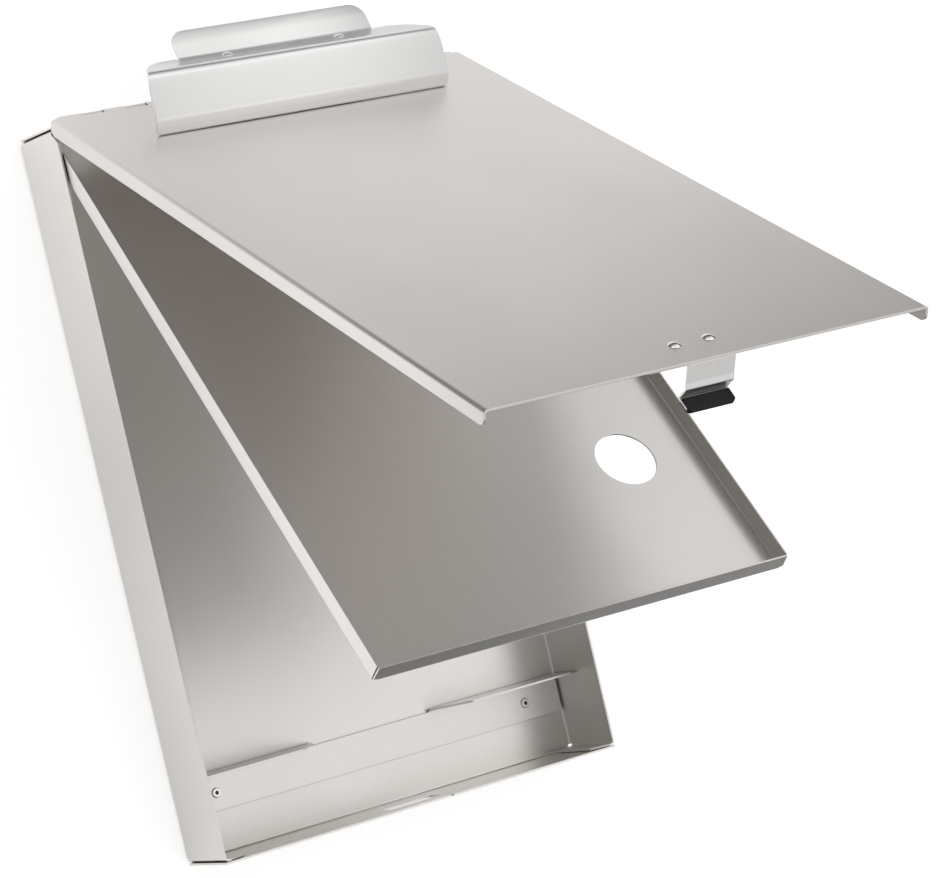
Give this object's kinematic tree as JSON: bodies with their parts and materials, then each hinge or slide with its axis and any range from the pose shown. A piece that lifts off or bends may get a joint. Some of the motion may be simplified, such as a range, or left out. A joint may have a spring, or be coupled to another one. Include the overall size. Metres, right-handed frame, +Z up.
{
  "type": "storage clipboard box",
  "caption": "Sheet metal storage clipboard: a shallow case, a swing-out tray with a finger hole, and a hinged writing lid with a spring clip and a latch.",
  "frame": {"origin": "centre of the flat underside of the case", "axes": "+Z up from the underside, +Y towards the hinged end, +X to the right seen from the latch end"},
  "size_m": [0.2332, 0.3925, 0.3592],
  "materials": {
    "case_metal": "fine brushed satin",
    "stop_metal": "fine brushed satin",
    "tray_metal": "fine brushed satin",
    "lid_metal": "fine brushed satin",
    "clip_metal": "smooth satin",
    "rivet_metal": "bright",
    "pin_steel": "drawn wire",
    "spring_steel": "plated",
    "latch_steel": "rolled spring sheet",
    "tip_rubber": "matt black"
  },
  "bodies": {
    "case": {"case_pan": "case_metal", "paper_stop": "stop_metal", "paper_stop_rivets": "rivet_metal", "lid_hinge_pin": "pin_steel", "tray_hinge_leaf": "stop_metal", "tray_hinge_pin": "pin_steel", "tray_hinge_rivets": "rivet_metal"},
    "tray": {"tray_pan": "tray_metal"},
    "lid": {"lid_panel": "lid_metal", "clip_base": "spring_steel", "clip_base_rivets": "rivet_metal", "clip_pin": "pin_steel", "clip_springs": "spring_steel", "latch_base": "latch_steel", "latch_rivets": "rivet_metal"},
    "clip": {"clip_jaw": "clip_metal", "clip_bracket": "spring_steel", "clip_jaw_rivets": "rivet_metal"},
    "latch": {"latch_spring": "latch_steel", "latch_tip": "tip_rubber"}
  },
  "joints": [
    {"name": "lid_hinge", "type": "hinge", "parent": "case", "child": "lid", "pos_m": [0, 0.18125, 0.04085], "axis": [-1, 0, 0], "range_deg": [-60.4, 104.6]},
    {"name": "tray_hinge", "type": "hinge", "parent": "case", "child": "tray", "pos_m": [0, 0.17685, 0.02415], "axis": [-1, 0, 0], "range_deg": [-34.9, 60.5]},
    {"name": "clip_pivot", "type": "hinge", "parent": "lid", "child": "clip", "pos_m": [0, 0.18519, 0.06316], "axis": [-1, 0, 0], "range_deg": [0, 18], "stiffness_Nm_per_rad": 0.8, "springref_deg": -20.05},
    {"name": "latch_flex", "type": "hinge", "parent": "lid", "child": "latch", "pos_m": [0, 0.0024, 0.35437], "axis": [-1, 0, 0], "range_deg": [0, 20], "stiffness_Nm_per_rad": 0.3, "springref_deg": -5.73}
  ],
  "couplings": [
    {"joint": "tray_hinge", "follows": "lid_hinge", "ratio": 0.5778}
  ]
}
